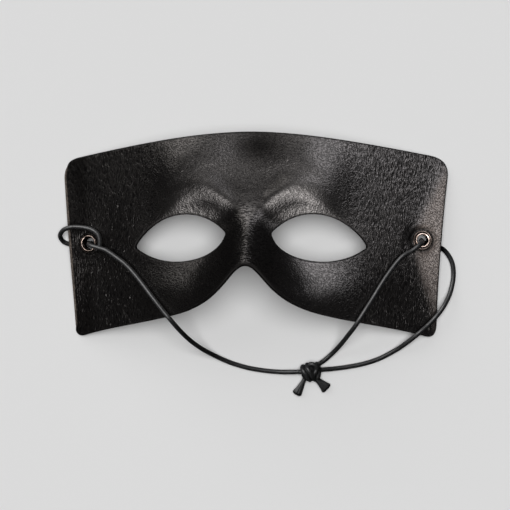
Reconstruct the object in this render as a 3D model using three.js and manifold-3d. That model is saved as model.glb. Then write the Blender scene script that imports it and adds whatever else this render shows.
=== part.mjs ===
// A half mask of moulded black leather, lying face up on the corners of its wings, with a round
// elastic cord through an eyelet in each wing and a knot below the nose.
// Millimetres. X runs to the right across the face, Y up the face, Z away from the surface below.
// Z = 0 is that surface, and X = Y = 0 is the middle of the mask's own outline.

import * as THREE from "three";
import { mergeVertices } from "three/addons/utils/BufferGeometryUtils.js";
import Module from "manifold-3d";

const wasm = await Module();
wasm.setup();

// Driving dimensions of the leather
const LEATHER_THICKNESS = 2.2;
const CROWN_HEIGHT = 31.10;       // front face above the surface, at the middle of the plain wrap
const HALF_WIDTH = 93.1;          // at Y = 0
const SIDE_LEAN = 0.076;          // widening of the half width for each millimetre up
const TOP_CORNER_Y = 31;
const BOTTOM_CORNER_Y = -46;
const GRID_STEP = 3.7;            // facet size of the moulded surface
const CURVE_SEGMENTS = 12;        // straight pieces in each arc of an outline

// Right half of the outline, from the middle of the brow round to the middle of the nose notch.
// Each arc is a cubic curve: two handles and an end point.
const HALF_OUTLINE = {
  start: [0, 49.3],
  arcs: [
    [[21.2, 49.3], [52.3, 44.5], [86, 38.6]],         // brow edge
    [[92, 37.5], [95.1, 34.5], [94.4, 28]],           // upper corner
    [[91.6, 3.8], [89.6, -20.4], [89.1, -43]],        // side of the wing
    [[88.9, -47.6], [87.6, -50.2], [83.6, -49]],      // lower corner
    [[69.9, -44.6], [46, -41.4], [33, -37.4]],        // cheek edge
    [[22.5, -34.2], [16, -28.4], [9, -20]],           // side of the nose
    [[5.6, -15.9], [3.2, -13.6], [0, -13.6]],         // nose notch
  ],
};

// Outline of the right eye hole, from its inner corner along the lower lid and back over the top
const EYE_OUTLINE = {
  start: [11, 1],
  arcs: [
    [[12.6, -5.2], [18, -8.8], [24, -10.8]],
    [[35, -14.4], [48, -12.4], [56.2, -5.8]],
    [[50.2, 5.8], [28.4, 18.7], [11, 1]],
  ],
};

// Eyelets: a rolled metal ring through each wing
const EYELET = {
  holeRadius: 2.6,
  barrelRadius: 3.0,
  flangeRadius: 4.7,
  flangeHeight: 1.3,
  backRadius: 4.4,
  backThickness: 0.6,
  segments: 20,
};
const EYELET_PLACES = { left: [-80.2, -3.8], right: [82.0, -2.4] };
const SEAT_RADIUS = 6;            // leather pressed flat round each eyelet
const SEAT_BLEND_RADIUS = 11;     // where the flat has run out into the curve of the wing
const GAP = 0.3;                  // between pieces that touch

// Cord
const CORD_DIAMETER = 2.2;
const CORD_SIDES = 8;
const CORD_STEP = 4.2;

// Left cord: its tucked end, round the wing's edge, up through the eyelet, over the wing, to the knot
const LEFT_CORD_ROUTE = [
  [-74.4, -5.9, 12.8], [-74.2, -2.7, 13.0], [-75.1, 0.3, 12.8], [-77.7, 2.5, 12.1],
  [-81.5, 3.7, 10.8], [-86.7, 4.2, 9.4], [-90.0, 3.9, 9.0], [-93.4, 2.6, 7.5],
  [-95.5, 0.0, 4.5], [-94.5, -2.7, 2.1], [-91.9, -4.0, 1.5], [-88.6, -4.3, 1.3],
  [-85.2, -4.0, 1.3], [-82.3, -3.7, 2.0], [-80.6, -3.7, 3.1], [-79.7, -3.7, 4.6],
  [-79.5, -3.7, 6.4], [-79.7, -3.8, 8.3], [-79.9, -4.0, 10.1], [-79.8, -4.2, 12.1],
  [-78.9, -4.7, 13.8], [-77.2, -5.3, 14.9], [-74.6, -6.0, 15.7], [-70.4, -7.3, 17.4],
  [-65.2, -10.6, 19.1], [-59.9, -14.5, 20.9], [-53.9, -20.7, 23.4], [-46.3, -29.8, 27.3],
  [-40.8, -36.3, 29.5], [-37.1, -40.5, 30.4], [-33.4, -45.3, 27.0], [-29.6, -50.3, 19.0],
  [-24.5, -55.0, 11.2], [-18.5, -59.0, 3.5], [-11.8, -62.1, 1.5], [-3.9, -64.5, 1.2],
  [3.9, -65.9, 1.2], [11.8, -66.6, 1.6], [18.2, -66.6, 2.8], [22.2, -66.4, 3.3],
];

// Right cord: from the knot over the wing and down through the eyelet
const RIGHT_RUN_ROUTE = [
  [31.6, -62.8, 3.3], [34.8, -60.6, 2.3], [38.7, -57.1, 3.2], [42.8, -52.7, 7.5],
  [46.6, -47.9, 15.3], [50.1, -43.4, 22.2], [53.8, -37.7, 23.1], [58.6, -30.1, 20.7],
  [63.6, -21.9, 18.7], [69.1, -14.1, 16.4], [73.1, -9.8, 15.4], [77.0, -7.6, 14.3],
  [79.8, -5.5, 13.8], [81.0, -4.3, 13.0], [81.8, -3.3, 11.3], [81.8, -2.7, 9.3],
  [81.6, -2.4, 7.6], [81.4, -2.5, 5.7], [81.6, -2.8, 3.9], [82.5, -3.3, 2.4],
  [84.1, -4.0, 1.6],
];

// The same cord, out past the wing's edge, round over its lower corner and back to the knot
const RIGHT_LOOP_ROUTE = [
  [84.8, -4.2, 1.5], [86.9, -4.8, 1.3], [89.4, -5.4, 1.3], [92.3, -6.9, 1.3],
  [95.1, -10.3, 1.2], [96.7, -14.3, 1.2], [97.1, -19.2, 1.2], [96.4, -24.3, 1.7],
  [94.8, -29.5, 3.6], [91.8, -35.1, 6.3], [88.1, -39.9, 6.0], [84.5, -43.6, 6.9],
  [80.2, -47.3, 8.2], [74.8, -51.7, 5.6], [69.3, -55.6, 2.4], [61.5, -59.8, 1.2],
  [53.8, -62.4, 1.2], [46.0, -64.0, 1.2], [39.2, -64.9, 1.7], [32.6, -65.4, 3.1],
];

// Knot: a pulled-tight core with turns of cord over it and two short flared ends
const KNOT = {
  centre: [27.4, -66.9, 3.25],
  halfSize: [4.7, 4.7, 3.1],
  turnDiameter: 2.2,
  turns: [
    [[24.0, -64.6, 3.4], [25.0, -65.5, 5.7], [26.5, -67.6, 6.0], [27.9, -69.9, 5.0], [28.6, -71.2, 3.2]],
    [[26.2, -62.8, 3.4], [27.0, -64.1, 5.8], [28.4, -66.3, 6.1], [29.8, -68.6, 5.0], [30.6, -70.0, 3.2]],
    [[25.2, -63.6, 2.6], [27.9, -62.6, 3.6], [30.4, -63.4, 4.4], [31.2, -65.6, 4.3], [29.9, -68.0, 4.0]],
  ],
  tails: [
    { from: [25.4, -69.0, 2.6], to: [20.9, -77.7, 1.7], startWidth: 2.4, endWidth: 5.2, thickness: 2.8 },
    { from: [30.0, -69.3, 2.6], to: [36.0, -74.8, 1.75], startWidth: 2.4, endWidth: 6.2, thickness: 2.9 },
  ],
};

const LEATHER = new THREE.MeshStandardMaterial({ color: 0x17161a, roughness: 0.5, metalness: 0 });
const EYELET_METAL = new THREE.MeshStandardMaterial({ color: 0x6a5248, roughness: 0.35, metalness: 1 });
const ELASTIC = new THREE.MeshStandardMaterial({ color: 0x2a2a2c, roughness: 0.6, metalness: 0 });

// A soft bend: 0 well before the knee, and growing in step with v after it
function ramp(v, knee, softness) {
  return softness * Math.log1p(Math.exp((v - knee) / softness));
}

function bump(x, y, centreX, centreY, radiusX, radiusY) {
  return Math.exp(-(((x - centreX) / radiusX) ** 2) - ((y - centreY) / radiusY) ** 2);
}

// Height of the plain leather bent round the head, against its middle
function wrapHeight(x, y) {
  const reach = 94;
  const v = (Math.abs(x) / (HALF_WIDTH + SIDE_LEAN * y)) * reach;
  const knee = 35.7 + 0.041 * y;
  const temple = 0.506 * (ramp(v, knee, 11.6) - ramp(0, knee, 11.6));
  const flareWidth = 14 * Math.exp(-(((y + 3) / 30) ** 2));
  const flare = 0.2 * ramp(v, reach - flareWidth, 2.2);
  const halfSide = (TOP_CORNER_Y - BOTTOM_CORNER_Y) / 2;
  const sideArch = (2 * (TOP_CORNER_Y - y) * (y - BOTTOM_CORNER_Y)) / halfSide ** 2;
  const upright = -0.0314 * y - 0.0008 * y ** 2;
  return upright + flare - temple + sideArch * (v / reach) ** 6;
}

// Height that the moulding adds: forehead, brow, eye sockets, cheeks and nose
function reliefHeight(x, y) {
  const side = Math.abs(x);
  const forehead = 2.63 * bump(side, y, 25.9, 35.8, 16.0, 13.4);
  const foreheadDent = -1.42 * bump(x, y, -2, 44.4, 11.1, 11.3);
  const middle = 1.27 * bump(x, y, 0, 16.5, 21.9, 8.9);
  const browLine = 23.4 - 0.0291 * (side - 25) ** 2;
  const brow = 2.03 * bump(side, y, 18.7, browLine, 14.3, 5.6);
  const lidLine = 17.2 - 0.0291 * (side - 25.2) ** 2;
  const lid = 0.61 * bump(side, y, 25.2, lidLine, 15.9, 3.8);
  const outerBrow = 1.57 * bump(side, y, 38.1, 24.9, 9.8, 13.5);
  const socket = -3.12 * bump(side, y, 26.2, 0.7, 17.7, 9);
  const cheek = 3.28 * bump(side, y, 24.8, -29.1, 27, 11);
  const down = 1.5 * Math.tanh(ramp(14.5 - y, 0, 3.6) / 45);
  const nose = 24.4 * down ** 1.285 * Math.exp(-((side / (5.37 + 11.6 * down)) ** 1.76));
  const aboveEyes = forehead + foreheadDent + middle + brow + lid + outerBrow;
  return aboveEyes + socket + cheek + nose;
}

function plainHeight(x, y) {
  return CROWN_HEIGHT + wrapHeight(x, y) + reliefHeight(x, y);
}

// The flat spot on which an eyelet sits: its middle, its slopes and its outward direction
function eyeletSeat([x, y]) {
  const step = 0.01;
  const height = plainHeight(x, y);
  const slopeX = (plainHeight(x + step, y) - plainHeight(x - step, y)) / (2 * step);
  const slopeY = (plainHeight(x, y + step) - plainHeight(x, y - step)) / (2 * step);
  const normal = new THREE.Vector3(-slopeX, -slopeY, 1).normalize();
  return { x, y, height, slopeX, slopeY, normal };
}

const SEATS = {
  left: eyeletSeat(EYELET_PLACES.left),
  right: eyeletSeat(EYELET_PLACES.right),
};

// Height of the leather's front face
function frontHeight(x, y) {
  let height = plainHeight(x, y);
  for (const seat of Object.values(SEATS)) {
    const distance = Math.hypot(x - seat.x, y - seat.y);
    const plane = seat.height + seat.slopeX * (x - seat.x) + seat.slopeY * (y - seat.y);
    const free = THREE.MathUtils.smoothstep(distance, SEAT_RADIUS, SEAT_BLEND_RADIUS);
    height = plane + (height - plane) * free;
  }
  return height;
}

function frontNormal(x, y) {
  const step = 0.05;
  const slopeX = (frontHeight(x + step, y) - frontHeight(x - step, y)) / (2 * step);
  const slopeY = (frontHeight(x, y + step) - frontHeight(x, y - step)) / (2 * step);
  return new THREE.Vector3(-slopeX, -slopeY, 1).normalize();
}

// Closed solids for joining and cutting
function toSolid(geometry) {
  const bare = geometry.index ? geometry.toNonIndexed() : geometry.clone();
  bare.deleteAttribute("normal");
  bare.deleteAttribute("uv");
  const merged = mergeVertices(bare, 1e-4);
  return new wasm.Manifold(new wasm.Mesh({
    numProp: 3,
    vertProperties: Float32Array.from(merged.attributes.position.array),
    triVerts: Uint32Array.from(merged.index.array),
  }));
}

function toGeometry(solid) {
  const mesh = solid.getMesh();
  const geometry = new THREE.BufferGeometry();
  geometry.setAttribute("position", new THREE.BufferAttribute(Float32Array.from(mesh.vertProperties), 3));
  geometry.setIndex(new THREE.BufferAttribute(Uint32Array.from(mesh.triVerts), 1));
  geometry.computeVertexNormals();
  return geometry;
}

function addArcs(path, arcs) {
  for (const [handleA, handleB, end] of arcs) {
    path.bezierCurveTo(...handleA, ...handleB, ...end);
  }
}

const flipped = ([x, y]) => [-x, y];

// The same arcs walked from their far end, on the other side of the face
function mirroredBack({ start, arcs }) {
  const back = [];
  for (let i = arcs.length - 1; i >= 0; i--) {
    const [handleA, handleB] = arcs[i];
    const end = i > 0 ? arcs[i - 1][2] : start;
    back.push([flipped(handleB), flipped(handleA), flipped(end)]);
  }
  return back;
}

function maskOutline() {
  const outline = new THREE.Shape();
  outline.moveTo(...HALF_OUTLINE.start);
  addArcs(outline, HALF_OUTLINE.arcs);
  addArcs(outline, mirroredBack(HALF_OUTLINE));

  const rightEye = new THREE.Path();
  rightEye.moveTo(...EYE_OUTLINE.start);
  addArcs(rightEye, EYE_OUTLINE.arcs);

  const leftEye = new THREE.Path();
  leftEye.moveTo(...flipped(EYE_OUTLINE.arcs.at(-1)[2]));
  addArcs(leftEye, mirroredBack(EYE_OUTLINE));

  outline.holes.push(rightEye, leftEye);
  return outline;
}

// The mask cut out of a flat sheet, on a grid fine enough to be moulded
function flatBlank() {
  const width = 204;
  const height = 114;
  const sheet = new THREE.BoxGeometry(
    width, height, LEATHER_THICKNESS, Math.round(width / GRID_STEP), Math.round(height / GRID_STEP), 1,
  );
  sheet.translate(0, 0, -LEATHER_THICKNESS / 2);
  const cutter = new THREE.ExtrudeGeometry(maskOutline(), {
    depth: 3 * LEATHER_THICKNESS, bevelEnabled: false, curveSegments: CURVE_SEGMENTS,
  });
  cutter.translate(0, 0, -2 * LEATHER_THICKNESS);
  return toGeometry(toSolid(sheet).intersect(toSolid(cutter)));
}

// Every point of the blank moves to the moulded front face, and its depth goes in along the normal
function mould(blank) {
  const position = blank.attributes.position;
  for (let i = 0; i < position.count; i++) {
    const x = position.getX(i);
    const y = position.getY(i);
    const depth = position.getZ(i);
    const normal = frontNormal(x, y);
    position.setXYZ(
      i, x + normal.x * depth, y + normal.y * depth, frontHeight(x, y) + normal.z * depth,
    );
  }
  return blank;
}

const alongNormal = (seat) =>
  new THREE.Quaternion().setFromUnitVectors(new THREE.Vector3(0, 1, 0), seat.normal);

function placedOnSeat(geometry, seat) {
  geometry.applyQuaternion(alongNormal(seat));
  return geometry.translate(seat.x, seat.y, seat.height);
}

function maskShell() {
  let shell = toSolid(mould(flatBlank()));
  for (const seat of Object.values(SEATS)) {
    const drillRadius = EYELET.barrelRadius + GAP;
    const drill = new THREE.CylinderGeometry(
      drillRadius, drillRadius, 5 * LEATHER_THICKNESS, EYELET.segments,
    );
    shell = shell.subtract(toSolid(placedOnSeat(drill, seat)));
  }
  // The corners are trimmed flat where they rest
  const below = new THREE.BoxGeometry(300, 200, 20).translate(0, 0, -10);
  return toGeometry(shell.subtract(toSolid(below)));
}

function eyelet(seat) {
  const { holeRadius, barrelRadius, flangeRadius, flangeHeight, backRadius, backThickness } = EYELET;
  const back = -LEATHER_THICKNESS - GAP;
  const profile = [
    [barrelRadius, back],
    [backRadius, back],
    [backRadius, back - backThickness],
    [holeRadius, back - backThickness],
    [holeRadius, 0.55 * flangeHeight],
    [holeRadius + 0.25, 0.85 * flangeHeight],
    [holeRadius + 0.75, flangeHeight],
    [flangeRadius - 0.6, 0.85 * flangeHeight],
    [flangeRadius, 0.5 * flangeHeight],
    [flangeRadius, GAP],
    [barrelRadius, GAP],
    [barrelRadius, back],
  ].map(([radius, height]) => new THREE.Vector2(radius, height));
  return placedOnSeat(new THREE.LatheGeometry(profile.reverse(), EYELET.segments), seat);
}

function roundSection(diameter, sides) {
  const section = new THREE.Shape();
  for (let i = 0; i < sides; i++) {
    const angle = (2 * Math.PI * i) / sides;
    const point = [(diameter / 2) * Math.cos(angle), (diameter / 2) * Math.sin(angle)];
    if (i === 0) section.moveTo(...point);
    else section.lineTo(...point);
  }
  section.closePath();
  return section;
}

function tube(route, diameter, sides, step) {
  const points = route.map((point) => new THREE.Vector3(...point));
  const path = new THREE.CatmullRomCurve3(points, false, "catmullrom", 0.5);
  path.arcLengthDivisions = 40 * points.length;
  const steps = Math.ceil(path.getLength() / step);
  return new THREE.ExtrudeGeometry(roundSection(diameter, sides), { steps, extrudePath: path });
}

const cord = (route) => tube(route, CORD_DIAMETER, CORD_SIDES, CORD_STEP);

// A short end of cord, flattened and spread towards its tip
function knotTail({ from, to, startWidth, endWidth, thickness }) {
  const start = new THREE.Vector3(...from);
  const end = new THREE.Vector3(...to);
  const length = start.distanceTo(end);
  const profile = [
    [0, 0], [startWidth / 2, 0], [0.3 * endWidth, 0.45 * length], [0.5 * endWidth, 0.85 * length],
    [0.46 * endWidth, length], [0, length],
  ].map(([radius, along]) => new THREE.Vector2(radius, along));
  const tail = new THREE.LatheGeometry(profile, 12);
  tail.scale(1, 1, thickness / endWidth);
  const direction = end.clone().sub(start).normalize();
  const across = new THREE.Vector3(-direction.y, direction.x, 0).normalize();
  const up = new THREE.Vector3().crossVectors(across, direction);
  tail.applyMatrix4(new THREE.Matrix4().makeBasis(across, direction, up));
  return tail.translate(...from);
}

function knot() {
  const core = new THREE.SphereGeometry(1, 16, 10);
  core.scale(...KNOT.halfSize).translate(...KNOT.centre);
  let solid = toSolid(core);
  for (const turn of KNOT.turns) {
    solid = solid.add(toSolid(tube(turn, KNOT.turnDiameter, CORD_SIDES, 1.6)));
  }
  for (const tail of KNOT.tails) solid = solid.add(toSolid(knotTail(tail)));
  return toGeometry(solid);
}

const mask = new THREE.Group();

function addPiece(name, geometry, material) {
  const piece = new THREE.Mesh(geometry, material);
  piece.name = name;
  mask.add(piece);
}

addPiece("mask_shell", maskShell(), LEATHER);
addPiece("eyelet_left", eyelet(SEATS.left), EYELET_METAL);
addPiece("eyelet_right", eyelet(SEATS.right), EYELET_METAL);
addPiece("cord_left", cord(LEFT_CORD_ROUTE), ELASTIC);
addPiece("cord_right_run", cord(RIGHT_RUN_ROUTE), ELASTIC);
addPiece("cord_right_loop", cord(RIGHT_LOOP_ROUTE), ELASTIC);
addPiece("knot", knot(), ELASTIC);

export default mask;
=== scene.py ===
# A moulded black leather half mask, lying face up with its round elastic cord on a pale floor.
# The leather's surface is worked out in millimetres by the formulas of the solids, and every mesh is
# in metres. X runs to the right across the face, Y up the face, Z away from the floor.

import math

import bpy
import numpy as np
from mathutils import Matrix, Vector, kdtree, noise
from mathutils.geometry import delaunay_2d_cdt


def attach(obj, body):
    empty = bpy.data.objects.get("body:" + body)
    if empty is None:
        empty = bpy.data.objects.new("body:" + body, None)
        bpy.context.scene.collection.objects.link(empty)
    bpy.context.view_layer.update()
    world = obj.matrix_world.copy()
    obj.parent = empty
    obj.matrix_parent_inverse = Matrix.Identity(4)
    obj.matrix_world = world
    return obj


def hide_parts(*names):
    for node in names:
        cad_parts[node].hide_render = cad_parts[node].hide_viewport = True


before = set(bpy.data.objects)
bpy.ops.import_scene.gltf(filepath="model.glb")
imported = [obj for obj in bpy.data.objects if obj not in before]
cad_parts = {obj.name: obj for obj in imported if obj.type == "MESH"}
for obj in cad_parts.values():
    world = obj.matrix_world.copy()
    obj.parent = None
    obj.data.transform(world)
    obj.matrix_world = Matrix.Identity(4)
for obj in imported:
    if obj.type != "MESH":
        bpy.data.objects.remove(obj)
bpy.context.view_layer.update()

MM = 0.001

# Camera, as fitted to the photograph, with lengths in metres
VIEW_YAW = math.radians(5.0)          # turned towards the right wing
VIEW_DISTANCE = 0.9
LOOK_AT = Vector((0.00038, -0.0095, 0.0))
METRES_PER_PIXEL = 0.00049            # at the distance of the look-at point
PICTURE_WIDTH = 510
SENSOR_WIDTH = 36.0                   # in millimetres, as Blender has it

# Floor, in metres
FLOOR_SIZE = 6
FLOOR_GAP = 0.0002                    # just below the surface that the mask lies on

# Light, with softboxes that are warmer on the left
WORLD_STRENGTH = 0.010
LEFT_TINT = (1.0, 0.935, 0.89)
MIDDLE_TINT = (1.0, 0.94, 0.915)
RIGHT_TINT = (1.0, 0.95, 0.96)

# Leather, which is in millimetres, as are the eyelets, the cord and the knot
LEATHER_THICKNESS = 2.2
CROWN_HEIGHT = 31.10
HALF_WIDTH = 93.1
SIDE_LEAN = 0.076
SIDE_REACH = 94                       # the reach that counts as the side edge, at every height
TOP_CORNER_Y = 31
BOTTOM_CORNER_Y = -46
FRONT_STEP = 0.62                     # distance between points of the front face
BACK_STEP = 1.5
LOOP_STEP = 0.6
ARC_POINTS = 80                       # points on each arc, before they are evenly spaced
CORNER_SOFTENING = 0.7                # rounding of the outline's corners
BLANK_HALF_SIZE = (96, 51)            # a box round the flat blank

HALF_OUTLINE = {
    "start": (0, 49.3),
    "arcs": [
        ((21.2, 49.3), (52.3, 44.5), (86, 38.6)),
        ((92, 37.5), (95.1, 34.5), (94.4, 28)),
        ((91.6, 3.8), (89.6, -20.4), (89.1, -43)),
        ((88.9, -47.6), (87.6, -50.2), (83.6, -49)),
        ((69.9, -44.6), (46, -41.4), (33, -37.4)),
        ((22.5, -34.2), (16, -28.4), (9, -20)),
        ((5.6, -15.9), (3.2, -13.6), (0, -13.6)),
    ],
}
EYE_OUTLINE = {
    "start": (11, 1),
    "arcs": [
        ((12.6, -5.2), (18, -8.8), (24, -10.8)),
        ((35, -14.4), (48, -12.4), (56.2, -5.8)),
        ((50.2, 5.8), (28.4, 18.7), (11, 1)),
    ],
}

# Section of a rounded edge, from the front face to the back: how far in from the outline, how deep
ROUND_EDGE = [
    (0.60, -0.005), (0.36, -0.04), (0.17, -0.14), (0.05, -0.32), (0.0, -0.62),
    (0.0, -1.35), (0.12, -1.80), (0.38, -2.08), (0.75, -2.20),
]
# Section of the left wing's edge, which is cut at a slant and left raw
SKIVED_EDGE = [
    (1.90, 0.0), (1.72, -0.04), (1.56, -0.20), (1.08, -0.60), (0.54, -1.02),
    (0.08, -1.40), (0.02, -1.75), (0.30, -2.08), (0.80, -2.20),
]
RAW_RINGS = (1, 5)                    # the rings between which the cut fibres show
GRAIN_SIDE, RAW_EDGE, FLESH_SIDE = 0, 1, 2     # the leather's materials

# Low relief of the grain side
PRESSED_RING_RADIUS = 5.3             # round each eyelet
PRESSED_RING_WIDTH = 0.9
PRESSED_RING_DEPTH = 0.38
CREASE_HEIGHT = 0.16                  # over the bridge of the nose
PEBBLE_HEIGHT = 0.04

# Patches on both sides of the face whose sheen is lowered as painted shade: centre, radii, how much
# of the sheen is gone
PAINTED_SHADE_PAIRS = [
    (20, 14.7, 7, 2.3, 0.32),         # lid, between the brow and the eye hole
    (9.5, -6, 6, 18, 0.68),           # side of the nose
    (5.5, 9, 3.5, 6, 0.4),            # beside the bridge
    (12.5, 24, 5.5, 5.5, 0.30),       # above the inner end of the brow
    (30, 40, 14, 8, 0.16),            # top of the forehead
]
# The same for single places, with X to the right
PAINTED_SHADE_PLACES = [
    (5, 42, 14, 8, 0.88),             # dent at the top of the forehead
    (0, 21.5, 15, 6.5, 0.42),         # between the brows
    (-28, -17, 12, 9, 0.52),          # left cheek
    (66, -26, 22, 14, 0.71),          # lower right wing
    (48, 30, 10, 14, 0.25),           # outer end of the right brow
    (-58, -6, 12, 18, 0.36),          # left wing
    (-28, 38, 14, 9, 0.16),           # left of the forehead
    (-24, 20, 14, 8, 0.22),           # left brow
]
# The same for the slanted dip between the right brow and the forehead
BROW_DIP_MIDDLE = (13.33, 24.02)
BROW_DIP_DIRECTION = (0.837, 0.547)
BROW_DIP_RADII = (7, 1.9)             # along and across it
BROW_DIP_PAINTED_SHADE = 0.38
# The sheen is also lowered as painted shade round the eyelets, along the wings' side edges and along
# the lower edge
RIM_PAINTED_SHADE = 0.8                     # round the eyelets and along the wings' side edges
LOWER_EDGE_PAINTED_SHADE = 0.35

# Eyelets
EYELET_PLACES = {"left": (-80.2, -3.8), "right": (82.0, -2.4)}
HOLE_RADIUS = 2.6
BARREL_RADIUS = 3.0
FLANGE_RADIUS = 4.7
LEATHER_HOLE_RADIUS = 3.3
SEAT_RADIUS = 6
SEAT_BLEND_RADIUS = 11
EYELET_SEGMENTS = 72
# The eyelets' rolled lips: their radius, and how bright the lip and the outer rim are rubbed
EYELET_LIPS = {"left": (3.62, 0.60, 0.0), "right": (3.12, 1.0, 0.12)}
EYELET_GAP = 0.3                      # between the leather's back and the eyelet's back ring

# Cord
CORD_DIAMETER = 2.2
CORD_SIDES = 32
CORD_STEP = 0.28
TURN_STEP = 0.2                       # the same, for the knot's tight turns
SPLINE_STEPS = 40                     # steps between two points of a route, before even spacing
BRAID_STRANDS = 6                     # strands that wind each way round the cord
BRAID_PITCH = 9.0                     # length of one turn of a strand
BRAID_RELIEF = 0.045
BRAID_MIDDLE = 0.6                    # height within the braid that lies at the cord's radius

LEFT_CORD_ROUTE = [
    (-74.4, -5.9, 12.8), (-74.2, -2.7, 13.0), (-75.1, 0.3, 12.8), (-77.7, 2.5, 12.1),
    (-81.5, 3.7, 10.8), (-86.7, 4.2, 9.4), (-90.0, 3.9, 9.0), (-93.4, 2.6, 7.5),
    (-95.5, 0.0, 4.5), (-94.5, -2.7, 2.1), (-91.9, -4.0, 1.5), (-88.6, -4.3, 1.3),
    (-85.2, -4.0, 1.3), (-82.3, -3.7, 2.0), (-80.6, -3.7, 3.1), (-79.7, -3.7, 4.6),
    (-79.5, -3.7, 6.4), (-79.7, -3.8, 8.3), (-79.9, -4.0, 10.1), (-79.8, -4.2, 12.1),
    (-78.9, -4.7, 13.8), (-77.2, -5.3, 14.9), (-74.6, -6.0, 15.7), (-70.4, -7.3, 17.4),
    (-65.2, -10.6, 19.1), (-59.9, -14.5, 20.9), (-53.9, -20.7, 23.4), (-46.3, -29.8, 27.3),
    (-40.8, -36.3, 29.5), (-37.1, -40.5, 30.4), (-33.4, -45.3, 27.0), (-29.6, -50.3, 19.0),
    (-24.5, -55.0, 11.2), (-18.5, -59.0, 3.5), (-11.8, -62.1, 1.5), (-3.9, -64.5, 1.2),
    (3.9, -65.9, 1.2), (11.8, -66.6, 1.6), (18.2, -66.6, 2.8), (22.2, -66.4, 3.3),
]
RIGHT_CORD_ROUTE = [
    (31.6, -62.8, 3.3), (34.8, -60.6, 2.3), (38.7, -57.1, 3.2), (42.8, -52.7, 7.5),
    (46.6, -47.9, 15.3), (50.1, -43.4, 22.2), (53.8, -37.7, 23.1), (58.6, -30.1, 20.7),
    (63.6, -21.9, 18.7), (69.1, -14.1, 16.4), (73.1, -9.8, 15.4), (77.0, -7.6, 14.3),
    (79.8, -5.5, 13.8), (81.0, -4.3, 13.0), (81.8, -3.3, 11.3), (81.8, -2.7, 9.3),
    (81.6, -2.4, 7.6), (81.4, -2.5, 5.7), (81.6, -2.8, 3.9), (82.5, -3.3, 2.4),
    (84.4, -4.1, 1.5), (86.9, -4.8, 1.3), (89.4, -5.4, 1.3), (92.3, -6.9, 1.3),
    (95.1, -10.3, 1.2), (96.7, -14.3, 1.2), (97.1, -19.2, 1.2), (96.4, -24.3, 1.7),
    (94.8, -29.5, 3.6), (91.8, -35.1, 6.3), (88.1, -39.9, 6.0), (84.5, -43.6, 6.9),
    (80.2, -47.3, 8.2), (74.8, -51.7, 5.6), (69.3, -55.6, 2.4), (61.5, -59.8, 1.2),
    (53.8, -62.4, 1.2), (46.0, -64.0, 1.2), (39.2, -64.9, 1.7), (32.6, -65.4, 3.1),
]

# Knot
KNOT_CENTRE = (27.4, -66.9, 3.25)
KNOT_CORE = (4.1, 4.2, 2.7)
KNOT_NECK = [(24.6, -66.7, 3.4), (23.4, -66.55, 3.35), (22.0, -66.4, 3.3)]     # to the left cord
KNOT_TURNS = [
    [(24.1, -63.9, 1.6), (23.8, -64.5, 3.8), (24.5, -65.8, 5.6), (25.6, -67.5, 6.0),
     (26.7, -69.2, 5.2), (27.4, -70.2, 3.5), (27.4, -70.4, 1.8)],
    [(26.1, -63.0, 1.6), (26.0, -63.6, 3.9), (26.8, -64.9, 5.8), (27.8, -66.6, 6.1),
     (28.9, -68.4, 5.2), (29.6, -69.7, 3.5), (29.7, -70.0, 1.8)],
    [(26.4, -64.3, 3.0), (27.2, -62.9, 4.3), (28.9, -62.6, 5.2), (30.5, -63.5, 5.3),
     (31.0, -65.2, 5.0), (30.3, -66.8, 4.9), (29.0, -68.2, 4.2)],
    [(30.4, -62.4, 1.8), (31.5, -63.9, 3.4), (31.9, -66.2, 4.0), (31.6, -68.6, 3.8),
     (30.7, -69.8, 2.8), (29.8, -70.3, 1.8)],
]
KNOT_TAILS = [
    {"from": (25.4, -69.0, 2.7), "to": (20.9, -77.7, 1.7), "start": 1.9, "end": 5.3, "thick": 2.7},
    {"from": (30.0, -69.3, 2.7), "to": (36.0, -74.8, 1.75), "start": 2.3, "end": 6.4, "thick": 2.8},
]
TAIL_SIDES = 48
TAIL_RINGS = 34
TAIL_FOLDS = 9                        # creases round a tail
TAIL_CLOSE = 0.86                     # where along a tail its tip starts to close
# The knot's core is painted dark as the shade between its turns
CORE_SHADE = 0.6                     # how dark the knot's core is, as the braid's grooves are


def point_camera():
    """The photograph's view: from above, a little from the right, with Y up the picture."""
    data = bpy.data.cameras.new("camera")
    data.sensor_width = SENSOR_WIDTH
    data.lens = SENSOR_WIDTH * VIEW_DISTANCE / (PICTURE_WIDTH * METRES_PER_PIXEL)
    data.clip_start = 0.01
    data.clip_end = 20
    camera = bpy.data.objects.new("camera", data)
    camera.rotation_euler = (0, VIEW_YAW, 0)
    back = Vector((math.sin(VIEW_YAW), 0, math.cos(VIEW_YAW)))
    camera.location = LOOK_AT + VIEW_DISTANCE * back
    bpy.context.collection.objects.link(camera)
    bpy.context.scene.camera = camera


# Leather surface, in millimetres

def ramp(v, knee, softness):
    """A soft bend: 0 well before the knee, and growing in step with v after it."""
    return softness * np.logaddexp(0, (v - knee) / softness)


def bump(x, y, centre_x, centre_y, radius_x, radius_y):
    return np.exp(-((x - centre_x) / radius_x) ** 2 - ((y - centre_y) / radius_y) ** 2)


def smoothstep(v, low, high):
    t = np.clip((v - low) / (high - low), 0, 1)
    return t * t * (3 - 2 * t)


def wing_reach(x, y):
    """How far out on the wing a point is: SIDE_REACH all along the side edge."""
    return np.abs(x) / (HALF_WIDTH + SIDE_LEAN * y) * SIDE_REACH


def flare_start(y):
    """The reach at which the wing starts to flatten out towards its side edge."""
    return SIDE_REACH - 14 * np.exp(-((y + 3) / 30) ** 2)


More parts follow.
